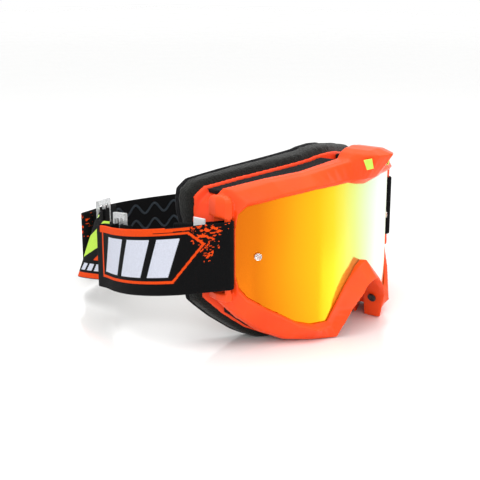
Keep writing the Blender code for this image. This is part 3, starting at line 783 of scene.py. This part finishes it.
def build_tag():
    """A folded label: two plies with the fold at the top."""
    low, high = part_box("size_tag")
    x, thick = (low.x + high.x) / 2, LABEL_THICK * MM
    radius = (high.x - low.x - thick) / 2
    fold = high.z - radius
    heights = [low.z + (fold - low.z) * i / 10 for i in range(11)]
    turns = [math.pi - math.pi * i / 8 for i in range(1, 8)]
    section = [(x - radius, height) for height in heights]
    section += [(x + radius * math.cos(a), fold + radius * math.sin(a)) for a in turns]
    section += [(x + radius, height) for height in reversed(heights)]
    bm = bmesh.new()
    rows = []
    for i in range(9):
        y = low.y + (high.y - low.y) * i / 8
        rows.append([bm.verts.new((px, y, pz)) for px, pz in section])
    for here, there in zip(rows, rows[1:]):
        for a in range(len(section) - 1):
            bm.faces.new((here[a], here[a + 1], there[a + 1], there[a]))
    flat = mesh_of("label", bm)
    label = piece("folded_size_label", evaluated(flat, ("SOLIDIFY", dict(thickness=thick, offset=0.0))),
                  label_cloth(), "right_strap", "white_label", "size_tag")


# ---------------------------------------------------------------- goggle

def build_frame():
    shell = moulded("orange_moulding", ORANGE, DEEP_ORANGE, roughness=0.36, grain=0.0009)
    front = softened("frame_front", voxel=0.62, rounds=5)
    piece("front_moulding", front, shell, "goggle", "orange_frame", "frame_front")
    soft = moulded("orange_flange_tpu", (0.95, 0.07, 0.010), (0.85, 0.05, 0.007), roughness=0.46,
                   grain=0.0006)
    flange = softened("face_frame", voxel=0.8, rounds=3)
    piece("flange_moulding", flange, soft, "goggle", "orange_flange", "face_frame")


def build_lens():
    """The lens as one face in front and one behind, cut into even squares and set on the true cylinder."""
    bm = copy_of("lens")
    half = (LENS_HIGH.x - LENS_LOW.x) / 2 / MM
    depth = (LENS_HIGH.y - LENS_LOW.y) / MM - LENS_THICK
    radius = (half ** 2 + depth ** 2) / (2 * depth)

    def behind(vertex):
        """How far behind the cylinder's front a point lies, in mm, and the front there."""
        x = (vertex.co.x - ORIGIN.x) / MM
        front = radius - math.sqrt(radius ** 2 - x * x)
        return (vertex.co.y - ORIGIN.y) / MM - front, front

    sheets = [{v for v in bm.verts if (behind(v)[0] > LENS_THICK / 2) == back} for back in (False, True)]
    for sheet in sheets:
        inner = [edge for edge in bm.edges if all(set(face.verts) <= sheet for face in edge.link_faces)]
        bmesh.ops.dissolve_edges(bm, edges=inner, use_verts=False)
    for axis, reach in ((0, half), (2, LENS_HIGH.z / MM)):
        for i in range(-int(reach / LENS_SLICE), int(reach / LENS_SLICE) + 1):
            spot, normal = [0.0, 0.0, 0.0], [0.0, 0.0, 0.0]
            spot[axis], normal[axis] = i * LENS_SLICE, 1.0
            everything = bm.verts[:] + bm.edges[:] + bm.faces[:]
            bmesh.ops.bisect_plane(bm, geom=everything, plane_co=at(*spot), plane_no=normal)
    for vertex in bm.verts:
        back, front = behind(vertex)
        vertex.co.y = ORIGIN.y + (front + (LENS_THICK if back > LENS_THICK / 2 else 0.0)) * MM
    lens = piece("mirror_lens_sheet", mesh_of("lens", bm), mirrored_lens(), "goggle", "mirror_lens", "lens")
    lens.data.set_sharp_from_angle(angle=math.radians(LENS_CREASE))


def build_foams():
    layered = foam("two_density_foam", (0.011, 0.0115, 0.010), pore=0.0013, depth=0.0005, sheen=0.16)
    ring = rounded_ring("face_foam", levels=3, rounds=24)
    body = piece("face_foam_ring", ring, layered, "goggle", "face_foam", "face_foam")
    press(body)
    ring = rounded_ring("face_fleece", levels=3, rounds=14)
    lining = piece("face_fleece_lining", ring, fleece(), "goggle", "black_fleece", "face_fleece")
    filter_foam = foam("filter_foam", (0.012, 0.012, 0.013), pore=0.0017, depth=0.0007)
    for place in ("top", "bottom"):
        for hand in ("right", "left"):
            node = f"{place}_vent_foam_{hand}"
            mesh = softened(node, voxel=0.9, rounds=2)
            made = piece(f"{place}_filter_{hand}", mesh, filter_foam, "goggle", "filter_foam", node)


def press(obj):
    """Lets the foam swell a little, but not along Y towards the flange or the fleece, by cloth simulation."""
    scene = bpy.context.scene
    rest = np.array([v.co for v in obj.data.vertices])
    cloth = obj.modifiers.new("Cloth", "CLOTH")
    cloth.settings.use_pressure = True
    cloth.settings.uniform_pressure_force = PRESSURE
    cloth.settings.effector_weights.gravity = 0.0
    cloth.settings.quality = PRESS_QUALITY
    cloth.point_cache.frame_end = PRESS_FRAMES
    for number in range(1, PRESS_FRAMES + 1):
        scene.frame_set(number)
    graph = bpy.context.evaluated_depsgraph_get()
    swollen = np.array([v.co for v in obj.evaluated_get(graph).data.vertices])
    obj.modifiers.remove(cloth)
    scene.frame_set(1)
    move = swollen - rest
    move[:, 1] = 0.0
    size = np.linalg.norm(move, axis=1, keepdims=True)
    move *= np.minimum(1.0, MOST_BULGE * MM / np.maximum(size, 1e-9))
    settled = rest + move
    settled[:, 2] = np.maximum(settled[:, 2], rest[:, 2].min())
    obj.data.vertices.foreach_set("co", settled.astype(np.float32).ravel())
    obj.data.update()


def build_trim():
    post = clear_plastic()
    stud = Look("stud_rubber", (0.012, 0.012, 0.013), 0.42)
    stud.bump(stud.noise(0.0012), 0.00006, 0.5)
    stud.uneven_roughness(0.002, 0.34, 0.52)
    lime = Look("lime_pad_print", LIME, 0.35)
    lime.set("Base Color", lime.mix(lime.span(lime.noise(0.003), 0.4, 0.7), LIME, (0.50, 0.82, 0.07)))
    lime.bump(lime.noise(0.0008), 0.00004, 0.4)
    pin = [(1.2, 0.0), (1.5, 0.1), (1.55, 0.9), (2.3, 1.15), (2.55, 1.5), (2.5, 1.95), (2.1, 2.3), (1.3, 2.4),
           (1.15, 2.1), (0.6, 2.0), (0.02, 2.0)]
    plug = [(3.2, 0.0), (3.3, 0.15), (3.3, 0.7), (3.05, 1.05), (2.5, 1.2), (1.6, 1.15), (1.35, 0.75),
            (0.02, 0.7)]
    for hand, side in (("right", -1), ("left", 1)):
        turned(f"tear_off_post_{hand}", f"lens_pin_{hand}", pin, (side * 0.5, -1, 0), post, "clear_post")
        turned(f"nose_stud_{hand}", f"nose_plug_{hand}", plug, (-side, 0, -0.3), stud.material, "black_plug")
        node = f"brow_badge_{hand}"
        mark = softened(node, voxel=0.2, rounds=2)
        piece(f"brow_mark_{hand}", mark, lime.material, "goggle", "lime_badge", node)


def build_sliders():
    clear = clear_plastic()
    for hand in ("right", "left"):
        node = f"{hand}_slider"
        mesh = softened(node, voxel=0.42, rounds=4)
        piece(f"{hand}_strap_slider", mesh, clear, f"{hand}_strap", "clear_slider", node)


# ---------------------------------------------------------------- stage

def plane(name, centre, size, look):
    bm = bmesh.new()
    bmesh.ops.create_grid(bm, x_segments=1, y_segments=1, size=size)
    bmesh.ops.translate(bm, verts=bm.verts, vec=centre)
    made = bpy.data.objects.new(name, mesh_of(name, bm))
    made.data.materials.append(look)
    bpy.context.scene.collection.objects.link(made)


def softbox(name, place, target, size, power):
    light = bpy.data.lights.new(name, "AREA")
    light.shape = "RECTANGLE"
    light.size, light.size_y = size
    light.energy = power
    made = bpy.data.objects.new(name, light)
    made.location = place
    made.rotation_euler = (Vector(target) - Vector(place)).to_track_quat("-Z", "Y").to_euler()
    bpy.context.scene.collection.objects.link(made)


def build_stage():
    top = Look("white_table", (0.90, 0.90, 0.89), 0.12, specular_ior_level=0.6)
    top.uneven_roughness(0.2, 0.10, 0.14)
    plane("table", centre=(0, 0, -0.0003), size=6.0, look=top.material)
    world = bpy.data.worlds.new("studio")
    world.use_nodes = True
    world.node_tree.nodes["Background"].inputs["Color"].default_value = (1, 1, 1, 1)
    world.node_tree.nodes["Background"].inputs["Strength"].default_value = 1.0
    bpy.context.scene.world = world
    softbox("overhead", place=(-0.1, -0.1, 1.1), target=(0, 0, 0), size=(1.2, 1.0), power=8.0)
    softbox("front_left", place=(-1.1, -0.9, 0.7), target=(0, 0, 0.06), size=(0.8, 0.6), power=4.0)
    softbox("front_right", place=(0.7, -1.3, 0.6), target=(0, 0, 0.06), size=(0.7, 0.5), power=3.0)
    bpy.context.scene.view_settings.view_transform = "Standard"


def build_camera():
    optics = bpy.data.cameras.new("camera")
    optics.sensor_width, optics.lens = SENSOR, FOCAL
    camera = bpy.data.objects.new("camera", optics)
    camera.location = at(*CAMERA_PLACE)
    camera.rotation_euler = (math.radians(CAMERA_PITCH), 0.0, math.radians(CAMERA_TURN))
    bpy.context.scene.collection.objects.link(camera)
    bpy.context.scene.camera = camera


build_camera()
build_stage()
build_frame()
build_lens()
build_foams()
build_trim()
build_sliders()
build_bands()
build_tag()
